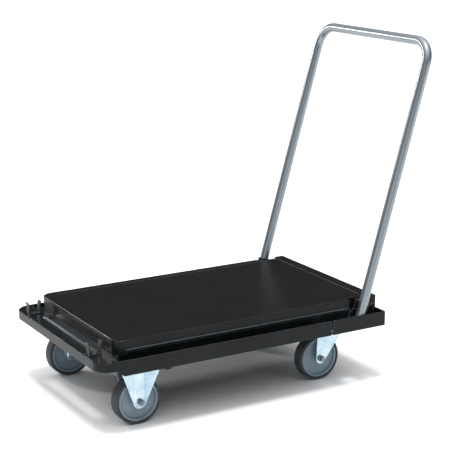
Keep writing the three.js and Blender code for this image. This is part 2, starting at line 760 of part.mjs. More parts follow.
// A pressed bracket round the tube's lower end. The lock pin enters a notch in its disc when the handle is up
// and a hole when it is folded, and the disc has a relief for the stop pin.
function handleFoot(side) {
  const innerX = footOuterX - footFlange;
  const webY = across(side, footInner, footInner + footThickness);
  const flangeY = across(side, footInner, footInner + footFlangeReach);
  const flangeZ = [footFlangeStart, footLength];
  const web = join(
    barY(0, 0, indexRadius, webY, 40),
    block([-footOuterX, footOuterX], webY, [0, footLength]),
  );
  const flanges = [
    block([-footOuterX, -innerX], flangeY, flangeZ),
    block([innerX, footOuterX], flangeY, flangeZ),
  ];
  // Angles seen from the tube, which stands at 90 degrees less the lean and folds towards -X.
  const tubeAngle = Math.PI / 2 - lean;
  const relativeTo = (degrees, fold) => THREE.MathUtils.degToRad(degrees) - tubeAngle - fold;
  const place = (angle) => [-indexPinRadius * Math.sin(angle), indexPinRadius * Math.cos(angle)];
  const through = across(side, footInner - 1, footInner + footThickness + 1);
  const [holeX, holeZ] = place(relativeTo(lockAngle, foldAngle));
  const lockHole = barY(holeX, holeZ, lockPinDiameter / 2 + CLEARANCE, through, 10);
  const halfNotch = lockPinDiameter / 2 + CLEARANCE;
  const lockNotch = block([-halfNotch, halfNotch], through, [indexPinRadius - halfNotch, indexRadius + 2])
    .rotate([0, -THREE.MathUtils.radToDeg(relativeTo(lockAngle, 0)), 0]);
  const margin = (lockPinDiameter / 2 + 2 * CLEARANCE) / indexPinRadius;
  const from = relativeTo(stopAngle, foldAngle) - margin + Math.PI / 2;
  const to = relativeTo(stopAngle, 0) + margin + Math.PI / 2;
  const relief = new THREE.Shape();
  relief.absarc(0, 0, indexRadius + 2, from, to, false);
  relief.absarc(0, 0, stopReliefRadius, to, from, true);
  const pivotHole = barY(0, 0, pivotBoltDiameter / 2 + CLEARANCE, through);
  return cut(join(web, flanges), lockHole, lockNotch, sidePlate(relief, through, 16), pivotHole);
}

function pivotBolt(side) {
  const shank = across(side, plinthHalfWidth - 18, tubeY + tubeRadius + 1);
  const head = across(side, tubeY + tubeRadius + CLEARANCE, tubeY + tubeRadius + CLEARANCE + 2.4);
  return join(
    barY(pivot.x, pivot.z, pivotBoltDiameter / 2, shank),
    barY(pivot.x, pivot.z, pivotBoltDiameter, head),
  );
}

function pivotNut(side) {
  const inner = plinthHalfWidth - 2 * shellWall;
  const body = across(side, inner - 8, inner - CLEARANCE);
  return cut(
    barY(pivot.x, pivot.z, 7.5, body, 6),
    barY(pivot.x, pivot.z, pivotBoltDiameter / 2 + CLEARANCE, across(side, inner - 9, inner)),
  );
}

// A lock pin with its knob, drawn pulled back; pushed outwards by its travel, it locks the foot.
function lockPin(side) {
  const lock = onIndexCircle(lockAngle);
  const tip = plinthHalfWidth + lockPinStart;
  const knobOuter = plinthHalfWidth - 2 * shellWall - lockPinTravel - 2;
  return join(
    barY(lock.x, lock.z, lockPinDiameter / 2, across(side, knobOuter - 2, tip), 10),
    barY(lock.x, lock.z, lockKnobDiameter / 2, across(side, knobOuter - lockKnobLength, knobOuter), 12),
  );
}

// ---------------------------------------------------------------- casters
// A hexagon bar's radius over its corners, from its width over the flats.
const acrossCorners = (flats) => flats / Math.sqrt(3);

function mountingBolt(x, y, seat) {
  const head = seat - plateThickness - CLEARANCE;
  return join(
    barZ(x, y, acrossCorners(13), [head - 5.3, head], 6),
    barZ(x, y, boltDiameter / 2, [head - 1, seat + boltDepth - 3], boltFacets),
  );
}

function plateHoles(x, y, seat) {
  const radius = boltDiameter / 2 + CLEARANCE;
  const span = [seat - 2 * forkSteel - 1, seat + 1];
  return boltPlaces(x, y).map(([bx, by]) => barZ(bx, by, radius, span, boltFacets));
}

function topPlate(x, y, height) {
  const outline = roundedRect(x, y, casterPlate.length, casterPlate.width, 10);
  return slab(outline, [height - CLEARANCE - plateThickness, height - CLEARANCE], 3);
}

function roundedRect(x, y, length, width, radius) {
  const [a, b] = [length / 2 - radius, width / 2 - radius];
  const outline = new THREE.Shape();
  outline.absarc(x + a, y + b, radius, 0, Math.PI / 2);
  outline.absarc(x - a, y + b, radius, Math.PI / 2, Math.PI);
  outline.absarc(x - a, y - b, radius, Math.PI, 1.5 * Math.PI);
  outline.absarc(x + a, y - b, radius, 1.5 * Math.PI, 2 * Math.PI);
  return outline;
}

// The rigid fork: a plate and two tapering legs, each with a raised rib down its middle.
function rigidFork(y) {
  const axleX = rigidCasterX + rigidAxleOffset;
  const top = rigidCasterHeight - CLEARANCE - plateThickness / 2;
  const legSpan = [rigidCasterX - rigidLegLength / 2, rigidCasterX + rigidLegLength / 2];
  const outline = taperedLeg(legSpan, top, [axleX, axleZ], 18);
  const ribSpan = [axleX - rigidRibWidth / 2, axleX + rigidRibWidth / 2];
  const ribOutline = taperedLeg(ribSpan, top - 8, [axleX, axleZ], 14.8);
  const legs = [-1, 1].flatMap((side) => [
    sidePlate(outline, [y + side * legInner, y + side * legOuter], 6),
    sidePlate(ribOutline, [y + side * (legOuter - 1), y + side * (legOuter + rigidRibProud)], 6),
  ]);
  const axleHole = barY(axleX, axleZ, axleDiameter / 2 + CLEARANCE, [y - 40, y + 40]);
  const body = join(topPlate(rigidCasterX, y, rigidCasterHeight), legs);
  return cut(body, axleHole, plateHoles(rigidCasterX, y, rigidCasterHeight));
}

const raceTop = swivelCasterHeight - CLEARANCE - plateThickness - CLEARANCE;
const crownTop = raceTop - 12;
const crownBottom = crownTop - forkSteel;

function swivelPlate(y) {
  const kingpinHole = barZ(swivelCasterX, y, 6 + CLEARANCE, [raceTop - 1, swivelCasterHeight + 1]);
  return cut(
    topPlate(swivelCasterX, y, swivelCasterHeight),
    plateHoles(swivelCasterX, y, swivelCasterHeight),
    kingpinHole,
  );
}

// The ball race between the top plate and the fork, as a waisted ring.
function ballRace(y) {
  const profile = [
    [7, 0],
    [raceRadius - 4, 0],
    [raceRadius, 4],
    [raceRadius - 3, 6],
    [raceRadius + 2, 8],
    [raceRadius - 2, 12 - CLEARANCE],
    [7, 12 - CLEARANCE],
    [7, 0],
  ];
  const ring = new THREE.LatheGeometry(
    profile.map(([radius, height]) => new THREE.Vector2(radius, height)),
    20,
  );
  return solid(ring.rotateX(Math.PI / 2).translate(swivelCasterX, y, crownTop + CLEARANCE / 2));
}

function kingpin(y) {
  return join(
    barZ(swivelCasterX, y, 6, [crownBottom - 2, swivelCasterHeight - CLEARANCE - 0.5], 16),
    barZ(swivelCasterX, y, 11, [crownBottom - 4, crownBottom - CLEARANCE], 16),
  );
}

// The swivel fork: a crown under the race, and two raked legs that carry the axle behind the kingpin.
function swivelFork(y) {
  const axleX = swivelCasterX - swivelTrail;
  const legSpan = [axleX - 11, swivelCasterX + 45];
  const outline = taperedLeg(legSpan, crownTop, [axleX, axleZ], 14.5);
  const legs = [-1, 1].map((side) => sidePlate(outline, [y + side * legInner, y + side * legOuter], 6));
  const crown = join(
    block(legSpan, [y - legOuter, y + legOuter], [crownBottom, crownTop]),
    barZ(swivelCasterX, y, raceRadius + 6, [crownBottom, crownTop], 24),
  );
  return cut(
    join(crown, legs),
    barY(axleX, axleZ, axleDiameter / 2 + CLEARANCE, [y - 40, y + 40]),
    barZ(swivelCasterX, y, 6 + CLEARANCE, [crownBottom - 1, crownTop + 1], 16),
  );
}

// Axle bolt: its head on the inner leg, its thread through a nut on the outer leg.
function axleBolt(x, y, side, legFace) {
  const headEnd = y - side * (legFace + CLEARANCE);
  const tail = y + side * (legFace + 11);
  return join(
    barY(x, axleZ, acrossCorners(16), [headEnd, headEnd - side * 6.4], 6),
    barY(x, axleZ, axleDiameter / 2, [headEnd - side, tail]),
  );
}

function axleNut(x, y, side, legFace) {
  const seat = y + side * (legFace + CLEARANCE);
  const body = join(
    barY(x, axleZ, acrossCorners(16), [seat, seat + side * 6.5], 6),
    barY(x, axleZ, 7, [seat + side * 6, seat + side * 9], 16),
  );
  return cut(body, barY(x, axleZ, axleDiameter / 2 + CLEARANCE, [seat - side, seat + side * 12]));
}

// The wheel's core: a hub, a thin disc and a rim, alike on both faces.
function wheelCore(x, y) {
  const bore = axleDiameter / 2 + CLEARANCE;
  const rim = wheelWidth / 2 - 1.5;
  const hub = wheelWidth / 2;
  const half = [
    [bore, hub],
    [13, hub],
    [14.5, 6],
    [coreRadius - 9, 6],
    [coreRadius - 5, rim],
    [coreRadius, rim],
  ];
  const profile = [...half, ...half.map(([radius, height]) => [radius, -height]).reverse(), half[0]];
  return turnedAt(profile.reverse(), x, y);
}

function tyre(x, y) {
  const half = wheelWidth / 2;
  const seat = coreRadius + CLEARANCE;
  const profile = [
    [seat, -half + 1.5],
    [wheelRadius - 3, -half],
    [wheelRadius, -half + 6],
    [wheelRadius, half - 6],
    [wheelRadius - 3, half],
    [seat, half - 1.5],
    [seat, -half + 1.5],
  ];
  return turnedAt(profile, x, y);
}

// A turned ring about a wheel's axle, with a flat of its facets downwards.
function turnedAt(profile, x, y) {
  const points = profile.map(([radius, height]) => new THREE.Vector2(radius, height));
  const ring = new THREE.LatheGeometry(points, wheelFacets);
  return solid(ring.rotateY(Math.PI / wheelFacets).translate(x, y, axleZ));
}

function addWheel(name, x, y) {
  addPart(`${name}_wheel_core`, wheelCore(x, y), materials.core);
  addPart(`${name}_tyre`, tyre(x, y), materials.tyre);
}

function addMountingBolts(name, x, y, seat) {
  boltPlaces(x, y).forEach(([bx, by], i) => {
    addPart(`${name}_plate_bolt_${i + 1}`, mountingBolt(bx, by, seat), materials.zinc);
  });
}

// ---------------------------------------------------------------- the cart
addPart("base_tray", baseTray(), materials.plastic);
addPart("handle_housing", handleHousing(), materials.plastic);
addPart("deck", deck(), materials.plastic);

const leaning = new THREE.Group();
leaning.position.copy(pivot);
leaning.rotation.y = lean;
cart.add(leaning);
addPart("handle_tube", handleTube(), materials.tube, leaning);

for (const [name, side] of SIDES) {
  addPart(`${name}_handle_clip`, handleClip(side), materials.clipPlastic);
  addPart(`${name}_clip_screw`, clipScrew(side), materials.zinc);
  addPart(`${name}_handle_foot`, handleFoot(side), materials.clipPlastic, leaning);
  addPart(`${name}_pivot_bolt`, pivotBolt(side), materials.zinc);
  addPart(`${name}_pivot_nut`, pivotNut(side), materials.zinc);
  addPart(`${name}_lock_pin`, lockPin(side), materials.zinc);

  const rigid = `rigid_${name}`;
  const rigidPlaceY = side * rigidY;
  const rigidAxleX = rigidCasterX + rigidAxleOffset;
  const rigidLegFace = legOuter + rigidRibProud;
  addPart(`${rigid}_fork`, rigidFork(rigidPlaceY), materials.zinc);
  addPart(`${rigid}_axle_bolt`, axleBolt(rigidAxleX, rigidPlaceY, side, rigidLegFace), materials.zinc);
  addPart(`${rigid}_axle_nut`, axleNut(rigidAxleX, rigidPlaceY, side, rigidLegFace), materials.zinc);
  addWheel(rigid, rigidAxleX, rigidPlaceY);
  addMountingBolts(rigid, rigidCasterX, rigidPlaceY, rigidCasterHeight);

  const swivel = `swivel_${name}`;
  const swivelPlaceY = side * swivelY;
  const swivelAxleX = swivelCasterX - swivelTrail;
  addPart(`${swivel}_top_plate`, swivelPlate(swivelPlaceY), materials.zinc);
  addPart(`${swivel}_ball_race`, ballRace(swivelPlaceY), materials.zinc);
  addPart(`${swivel}_kingpin`, kingpin(swivelPlaceY), materials.zinc);
  addPart(`${swivel}_fork`, swivelFork(swivelPlaceY), materials.zinc);
  addPart(`${swivel}_axle_bolt`, axleBolt(swivelAxleX, swivelPlaceY, side, legOuter), materials.zinc);
  addPart(`${swivel}_axle_nut`, axleNut(swivelAxleX, swivelPlaceY, side, legOuter), materials.zinc);
  addWheel(swivel, swivelAxleX, swivelPlaceY);
  addMountingBolts(swivel, swivelCasterX, swivelPlaceY, swivelCasterHeight);
}

// The origin goes under the middle of the overall box, which ends at the crossbar's rearmost line.
const crossbarRearX = pivot.x + handleReach * Math.sin(lean) + tubeRadius;
const origin = new THREE.Group();
origin.position.x = -(frontX + crossbarRearX) / 2;
origin.add(cart);

export default origin;
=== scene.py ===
"""Looks of the folding platform cart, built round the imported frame. Metres, +Z up, -X is the front."""

import json
import math

import bmesh
import bpy
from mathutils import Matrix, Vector


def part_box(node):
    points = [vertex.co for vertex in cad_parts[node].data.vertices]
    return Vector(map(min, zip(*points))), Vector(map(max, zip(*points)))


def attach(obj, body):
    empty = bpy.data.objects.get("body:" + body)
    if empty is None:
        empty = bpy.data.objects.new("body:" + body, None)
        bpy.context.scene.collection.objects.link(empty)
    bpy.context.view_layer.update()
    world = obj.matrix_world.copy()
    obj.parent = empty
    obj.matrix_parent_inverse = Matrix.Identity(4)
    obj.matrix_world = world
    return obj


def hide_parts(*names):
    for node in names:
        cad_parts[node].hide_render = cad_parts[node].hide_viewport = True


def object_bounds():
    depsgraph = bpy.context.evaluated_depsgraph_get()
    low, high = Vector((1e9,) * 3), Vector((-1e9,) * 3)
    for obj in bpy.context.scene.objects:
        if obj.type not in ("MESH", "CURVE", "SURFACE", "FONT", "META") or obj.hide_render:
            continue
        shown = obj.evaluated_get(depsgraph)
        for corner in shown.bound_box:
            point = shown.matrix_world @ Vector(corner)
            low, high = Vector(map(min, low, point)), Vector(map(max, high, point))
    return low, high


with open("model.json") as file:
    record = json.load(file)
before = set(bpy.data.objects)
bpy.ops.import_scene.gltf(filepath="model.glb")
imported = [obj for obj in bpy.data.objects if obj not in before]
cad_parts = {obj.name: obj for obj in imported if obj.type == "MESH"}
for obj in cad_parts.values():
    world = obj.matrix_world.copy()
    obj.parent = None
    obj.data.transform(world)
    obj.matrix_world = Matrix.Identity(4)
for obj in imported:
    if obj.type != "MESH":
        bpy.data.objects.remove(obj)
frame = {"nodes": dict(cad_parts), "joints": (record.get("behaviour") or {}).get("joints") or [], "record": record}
cad_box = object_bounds()

MM = 0.001
SIDES = ("left", "right")


# ---------------------------------------------------------------- places taken from the frame
def middle(node):
    """The middle of a node's box."""
    low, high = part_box(node)
    return (Vector(low) + Vector(high)) / 2


DECK_LOW, DECK_HIGH = (Vector(c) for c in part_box("deck"))
TRAY_LOW, TRAY_HIGH = (Vector(c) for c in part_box("base_tray"))
HOUSING_HIGH = Vector(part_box("handle_housing")[1])
JOINTS = {joint["name"]: joint for joint in frame["joints"]}


# ---------------------------------------------------------------- mesh helpers
SHARP_EDGE = math.radians(45)  # edges that may get a width of their own
BEVEL_ANGLE = math.radians(30)  # all other edges
COPLANAR = math.radians(0.6)


def new_object(name, mesh):
    obj = bpy.data.objects.new(name, mesh)
    bpy.context.scene.collection.objects.link(obj)
    return obj


def object_from_bmesh(name, bm):
    bmesh.ops.recalc_face_normals(bm, faces=bm.faces)
    mesh = bpy.data.meshes.new(name)
    bm.to_mesh(mesh)
    bm.free()
    return new_object(name, mesh)


def smooth_by_angle(obj, degrees=32):
    """Smooth shading that keeps the edges sharper than an angle."""
    mesh = obj.data
    mesh.polygons.foreach_set("use_smooth", [True] * len(mesh.polygons))
    bm = bmesh.new()
    bm.from_mesh(mesh)
    for edge in bm.edges:
        sharp = len(edge.link_faces) == 2 and edge.calc_face_angle(0) > math.radians(degrees)
        edge.smooth = not sharp
    bm.to_mesh(mesh)
    bm.free()
    weighted = obj.modifiers.new("normals", "WEIGHTED_NORMAL")
    weighted.keep_sharp = True
    weighted.weight = 100
    apply_modifiers(obj)


def apply_modifiers(obj):
    """Bakes an object's modifiers into its mesh."""
    graph = bpy.context.evaluated_depsgraph_get()
    mesh = bpy.data.meshes.new_from_object(obj.evaluated_get(graph))
    obj.modifiers.clear()
    obj.data = mesh


def bevel(obj, width):
    modifier = obj.modifiers.new("edge", "BEVEL")
    modifier.width = width
    modifier.segments = 2
    modifier.limit_method = "ANGLE"
    modifier.angle_limit = BEVEL_ANGLE
    modifier.use_clamp_overlap = True
    modifier.harden_normals = False
    apply_modifiers(obj)


def round_edges(bm, chosen, width, segments):
    """Rounds the edges that a test chooses by their middle and their two faces' normals."""
    edges = []
    for edge in bm.edges:
        if len(edge.link_faces) == 2 and edge.calc_face_angle(0) > SHARP_EDGE and edge.is_convex:
            spot = (edge.verts[0].co + edge.verts[1].co) / 2
            if chosen(spot, [face.normal for face in edge.link_faces]):
                edges.append(edge)
    bmesh.ops.bevel(
        bm,
        geom=edges,
        offset=width,
        segments=segments,
        profile=0.5,
        affect="EDGES",
        clamp_overlap=False,
    )


def softened(node, width, first=()):
    """A copy of a CAD node whose flat faces are whole again and whose edges are rounded.

    Each row of first holds a test for edges, and the width and segments that these edges get."""
    source = frame["nodes"][node]
    bm = bmesh.new()
    bm.from_mesh(source.data)
    bmesh.ops.remove_doubles(bm, verts=bm.verts, dist=1e-6)
    bmesh.ops.dissolve_limit(bm, angle_limit=COPLANAR, verts=bm.verts, edges=bm.edges)
    for chosen, own_width, own_segments in first:
        bm.normal_update()
        round_edges(bm, chosen, own_width, own_segments)
    obj = object_from_bmesh(f"{node}_shell", bm)
    bevel(obj, width)
    smooth_by_angle(obj)
    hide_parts(node)
    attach(obj, frame_body(node))
    return obj


def frame_body(node):
    for body, nodes in frame["record"]["behaviour"]["bodies"].items():
        if node in nodes:
            return body
    raise ValueError(node)


def lathe(name, profile, centre, steps):
    """A ring turned about an axis along Y, from a closed profile of (radius, height) points."""
    bm = bmesh.new()
    rings = []
    for i in range(steps):
        angle = 2 * math.pi * i / steps
        ring = []
        for radius, height in profile:
            a, b = radius * math.cos(angle), radius * math.sin(angle)
            ring.append(bm.verts.new(centre + Vector((a, height, b))))
        rings.append(ring)
    count = len(profile)
    for i in range(steps):
        ring, after = rings[i], rings[(i + 1) % steps]
        for k in range(count):
            bm.faces.new((ring[k], ring[(k + 1) % count], after[(k + 1) % count], after[k]))
    bmesh.ops.remove_doubles(bm, verts=bm.verts, dist=1e-7)
    obj = object_from_bmesh(name, bm)
    smooth_by_angle(obj, 28)
    return obj


def arc(cx, cy, radius, start, end, steps):
    """Points on a circle, with angles in degrees."""
    angles = [math.radians(start + (end - start) * i / steps) for i in range(steps + 1)]
    return [(cx + radius * math.cos(a), cy + radius * math.sin(a)) for a in angles]


# ---------------------------------------------------------------- materials
def linear(hex_colour):
    """A hex colour as linear RGBA."""
    values = [int(hex_colour[i : i + 2], 16) / 255 for i in (1, 3, 5)]
    return [v / 12.92 if v < 0.04045 else ((v + 0.055) / 1.055) ** 2.4 for v in values] + [1]


class Material:
    """A node material with the few nodes that every finish here needs."""

    def __init__(self, name, roughness, metallic=0.0, specular=0.5, coat=0.0, coat_roughness=0.1):
        self.material = bpy.data.materials.new(name)
        self.material.use_nodes = True
        self.tree = self.material.node_tree
        self.shader = self.tree.nodes["Principled BSDF"]
        self.shader.inputs["Roughness"].default_value = roughness
        self.shader.inputs["Metallic"].default_value = metallic
        self.shader.inputs["Specular IOR Level"].default_value = specular
        self.shader.inputs["Coat Weight"].default_value = coat
        self.shader.inputs["Coat Roughness"].default_value = coat_roughness
        self.place = self.tree.nodes.new("ShaderNodeTexCoord").outputs["Object"]

    def node(self, kind, inputs=None, **settings):
        made = self.tree.nodes.new(kind)
        for key, value in settings.items():
            setattr(made, key, value)
        for key, value in (inputs or {}).items():
            if isinstance(value, bpy.types.NodeSocket):
                self.tree.links.new(value, made.inputs[key])
            else:
                made.inputs[key].default_value = value
        return made

    def stretched(self, scale):
        return self.node("ShaderNodeMapping", {"Vector": self.place, "Scale": scale}).outputs["Vector"]

    def noise(self, scale, detail=3.0, roughness=0.5, place=None):
        inputs = {
            "Vector": place or self.place,
            "Scale": scale,
            "Detail": detail,
            "Roughness": roughness,
        }
        return self.node("ShaderNodeTexNoise", inputs).outputs["Fac"]

    def ramp(self, factor, low, high, colours=None):
        """Maps a factor between low and high to 0..1, or to a run between two colours."""
        made = self.node("ShaderNodeValToRGB", {"Fac": factor})
        ends = made.color_ramp.elements
        ends[0].position, ends[1].position = low, high
        if colours:
            ends[0].color, ends[1].color = colours
        return made.outputs["Color"]

    def scaled(self, value, low, high):
        made = self.node("ShaderNodeMapRange", {"Value": value, "To Min": low, "To Max": high})
        return made.outputs["Result"]

    def mix(self, factor, first, second):
        made = self.node("ShaderNodeMix", data_type="RGBA")
        for index, value in ((0, factor), (6, first), (7, second)):
            if isinstance(value, bpy.types.NodeSocket):
                self.tree.links.new(value, made.inputs[index])
            else:
                made.inputs[index].default_value = value
        return made.outputs[2]

    def bump(self, height, strength, distance, normal=None):
        inputs = {"Height": height, "Strength": strength, "Distance": distance}
        if normal:
            inputs["Normal"] = normal
        return self.node("ShaderNodeBump", inputs).outputs["Normal"]

    def painted_edge_highlight(self, radius):
        """Near 1 on convex edges, 0 on flat faces: the mask for a painted highlight along the edges."""
        bevel_normal = self.node("ShaderNodeBevel", {"Radius": radius}, samples=4).outputs["Normal"]
        geometry = self.node("ShaderNodeNewGeometry")
        normals = {0: bevel_normal, 1: geometry.outputs["Normal"]}
        dot = self.node("ShaderNodeVectorMath", normals, operation="DOT_PRODUCT")
        return self.ramp(self.scaled(dot.outputs["Value"], 1.0, 0.0), 0.02, 0.12)

    def set(self, **sockets):
        names = {"colour": "Base Color", "roughness": "Roughness", "normal": "Normal"}
        for key, value in sockets.items():
            self.tree.links.new(value, self.shader.inputs[names[key]])
        return self.material


def moulded_plastic(name, dark, light, roughness, grain=2600.0, specular=0.16):
    """Injection-moulded plastic: fine spark grain, clouds in the colour, scuffs in the roughness and convex edges
    made paler as a painted highlight.
    """
    m = Material(name, roughness, specular=specular)
    cloud = m.noise(4.0, 2.0)
    colour = m.mix(m.ramp(cloud, 0.35, 0.7), linear(dark), linear(light))
    # painted highlight: convex edges are mixed towards pale grey
    colour = m.mix(m.scaled(m.painted_edge_highlight(1.4 * MM), 0.0, 0.6), colour, linear("#a3acb1"))
    scuffs = m.noise(60.0, 6.0, 0.7, m.stretched((0.35, 1.0, 1.0)))
    rough = m.scaled(scuffs, roughness - 0.03, roughness + 0.06)
    normal = m.bump(m.noise(grain, 2.0, 0.6), 0.12, 0.00003)
    return m.set(colour=colour, roughness=rough, normal=normal)


def anti_slip_shaded_plastic(name, dark, light, roughness):
    """The deck's load surface: a pebbled grain over a darker copy of the moulded black, painted shade for the top.
    """
    m = Material(name, roughness, specular=0.25)
    cloud = m.noise(3.5, 5.0)
    colour = m.mix(m.ramp(cloud, 0.3, 0.75), linear(dark), linear(light))
    cells = m.node("ShaderNodeTexVoronoi", {"Vector": m.place, "Scale": 420.0}, feature="SMOOTH_F1")
    pebbles = m.ramp(cells.outputs["Distance"], 0.0, 0.55)
    scratches = m.noise(90.0, 8.0, 0.75, m.stretched((0.2, 1.4, 1.0)))
    rough = m.scaled(scratches, roughness - 0.06, roughness + 0.12)
    normal = m.bump(pebbles, 0.12, 0.0001, m.bump(scratches, 0.05, 0.00006))
    return m.set(colour=colour, roughness=rough, normal=normal)


def silver_tube(name):
    """Silver powder coat on steel tube: a fine metallic flake under a thin clear gloss."""
    m = Material(name, 0.3, metallic=0.75, coat=0.15, coat_roughness=0.12)
    flake = m.noise(5200.0, 1.0, 0.5)
    cloud = m.noise(7.0, 3.0)
    colour = m.mix(m.ramp(flake, 0.3, 0.7), linear("#82898e"), linear("#90979c"))
    colour = m.mix(m.scaled(cloud, 0.0, 0.3), colour, linear("#7f888e"))
    return m.set(colour=colour, roughness=m.scaled(cloud, 0.3, 0.35))


def zinc(name, tint_low, tint_high, roughness):
    """Bright zinc plate: faint blue passivation clouds and rolled-sheet streaks."""
    m = Material(name, roughness, metallic=0.88)
    cloud = m.noise(22.0, 5.0, 0.6)
    streaks = m.noise(120.0, 4.0, 0.6, m.stretched((1.0, 1.0, 0.12)))
    colour = m.mix(m.ramp(cloud, 0.3, 0.7), linear(tint_low), linear(tint_high))
    rough = m.scaled(streaks, roughness - 0.07, roughness + 0.1)
    return m.set(colour=colour, roughness=rough, normal=m.bump(streaks, 0.1, 0.00006))


def tread_rubber(name, dark, light):
    """Grey-black wheel rubber: matt, slightly dusty, with fine moulding grain."""
    m = Material(name, 0.62, specular=0.35)
    dust = m.noise(30.0, 6.0, 0.65)
    colour = m.mix(m.ramp(dust, 0.35, 0.75), linear(dark), linear(light))
    rough = m.scaled(dust, 0.52, 0.74)
    return m.set(colour=colour, roughness=rough, normal=m.bump(m.noise(1800.0, 2.0), 0.25, 0.00005))


def wheel_plastic(name, dark, light):
    """Moulded blue-grey wheel core, satin with fine turning marks."""
    m = Material(name, 0.38, specular=0.5)
    cloud = m.noise(18.0, 4.0)
    colour = m.mix(m.ramp(cloud, 0.3, 0.7), linear(dark), linear(light))
    grain = m.bump(m.noise(1500.0, 2.0), 0.2, 0.00004)
    return m.set(colour=colour, roughness=m.scaled(cloud, 0.32, 0.46), normal=grain)


def make_materials():
    return {
        "plastic": moulded_plastic("black_moulded_plastic", "#0f1213", "#16191b", 0.24),
        "deck": moulded_plastic("deck_moulded_plastic", "#0f1213", "#16191b", 0.24),
        # a darker copy of the black for the deck's up-facing faces: painted shade
        "pad": anti_slip_shaded_plastic("deck_load_surface_painted_shade", "#070708", "#0c0c0d", 0.3),
        "clip": moulded_plastic("clip_plastic", "#040405", "#08080a", 0.35, specular=0.2),
        "foot": moulded_plastic("black_coated_steel", "#0c0d0f", "#16181b", 0.28, 1200.0),
        "tube": silver_tube("silver_tube"),
        "zinc": zinc("bright_zinc", "#93b3c2", "#cfdfe6", 0.25),
        "bolt": zinc("bolt_zinc", "#59646a", "#7f8b92", 0.25),
        "tyre": tread_rubber("tread_rubber", "#2e3033", "#424548"),
        "core": wheel_plastic("wheel_core_plastic", "#63747e", "#778995"),
    }


def finish_with(obj, material):
    obj.data.materials.clear()
    obj.data.materials.append(material)
    return obj


MATERIALS = make_materials()


# ---------------------------------------------------------------- base and deck
CLEARANCE = 0.3 * MM
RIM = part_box("left_handle_clip")[0][2] - CLEARANCE
HALF_WIDTH = TRAY_HIGH.y
FRONT_RADIUS = 44 * MM
WALL_NEAR = 0.6 * MM
LEVEL_NEAR = 0.1 * MM
UPRIGHT = 0.2  # a wall's normal has no more Z than this


def on_platform_outline(spot):
    """Whether a place is on the platform's outer wall, its front corners included."""
    corner = Vector((TRAY_LOW.x + FRONT_RADIUS, HALF_WIDTH - FRONT_RADIUS))
    away = Vector((spot.x, abs(spot.y))) - corner
    if away.x < 0 and away.y > 0:
        return abs(away.length - FRONT_RADIUS) < WALL_NEAR
    at_side = abs(abs(spot.y) - HALF_WIDTH) < WALL_NEAR
    at_end = min(abs(spot.x - TRAY_LOW.x), abs(spot.x - HOUSING_HIGH.x)) < WALL_NEAR
    return at_side or at_end


def faces_up_and_out(normals):
    return max(n.z for n in normals) > 0.9 and min(abs(n.z) for n in normals) < UPRIGHT


def rim_edge(spot, normals):
    at_rim = abs(spot.z - RIM) < LEVEL_NEAR
    return at_rim and faces_up_and_out(normals) and on_platform_outline(spot)


def skirt_edge(spot, normals):
    down_and_out = min(n.z for n in normals) < -0.5 and min(abs(n.z) for n in normals) < UPRIGHT
    return spot.z < RIM - 10 * MM and down_and_out and on_platform_outline(spot)


def make_base():
    for node in ("base_tray", "handle_housing"):
        shell = softened(node, 0.5 * MM, ((rim_edge, 2.0 * MM, 4), (skirt_edge, 1.2 * MM, 3)))
        finish_with(shell, MATERIALS["plastic"])


def deck_top_edge(spot, normals):
    on_top = abs(spot.z - DECK_HIGH.z) < LEVEL_NEAR and faces_up_and_out(normals)
    out = max(normals, key=lambda n: n.x**2 + n.y**2)
    away = spot - (DECK_LOW + DECK_HIGH) / 2
    return on_top and out.x * away.x + out.y * away.y > 0


PAD_REACH = 2.5 * MM  # below the deck's top, where faces still belong to the load surface


def make_deck():
    deck = softened("deck", 0.6 * MM, ((deck_top_edge, 3.0 * MM, 5),))
    finish_with(deck, MATERIALS["deck"])
    deck.data.materials.append(MATERIALS["pad"])
    # the deck's up-facing faces take the darker colour, a painted shade
    for face in deck.data.polygons:
        if face.center.z > DECK_HIGH.z - PAD_REACH and face.normal.z > 0.9:
            face.material_index = 1


# ---------------------------------------------------------------- handle
def make_handle():
    tube = handle_tube()
    finish_with(tube, MATERIALS["tube"])
    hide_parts("handle_tube")
    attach(tube, "handle")
    for side in SIDES:
        foot = softened(f"{side}_handle_foot", 0.5 * MM)
        finish_with(foot, MATERIALS["foot"])
        clip = softened(f"{side}_handle_clip", 0.5 * MM)
        finish_with(clip, MATERIALS["clip"])


TUBE_RADIUS = 12.7 * MM
TUBE_WALL = 1.5 * MM
TUBE_BEND = 58 * MM
TUBE_TAIL = 14 * MM
TUBE_FACETS = 40
BEND_STEPS = 14


def tube_stations(half, reach):
    """Places (y, z) along the tube's centre line, each with its direction."""
    stations = [(-half, -TUBE_TAIL, (0, 1))]
    for bend_y, start in ((TUBE_BEND - half, math.pi), (half - TUBE_BEND, math.pi / 2)):
        for k in range(BEND_STEPS + 1):
            a = start - (math.pi / 2) * k / BEND_STEPS
            y = bend_y + TUBE_BEND * math.cos(a)
            z = reach - TUBE_BEND + TUBE_BEND * math.sin(a)
            stations.append((y, z, (math.sin(a), -math.cos(a))))
    stations.append((half, -TUBE_TAIL, (0, -1)))
    return stations


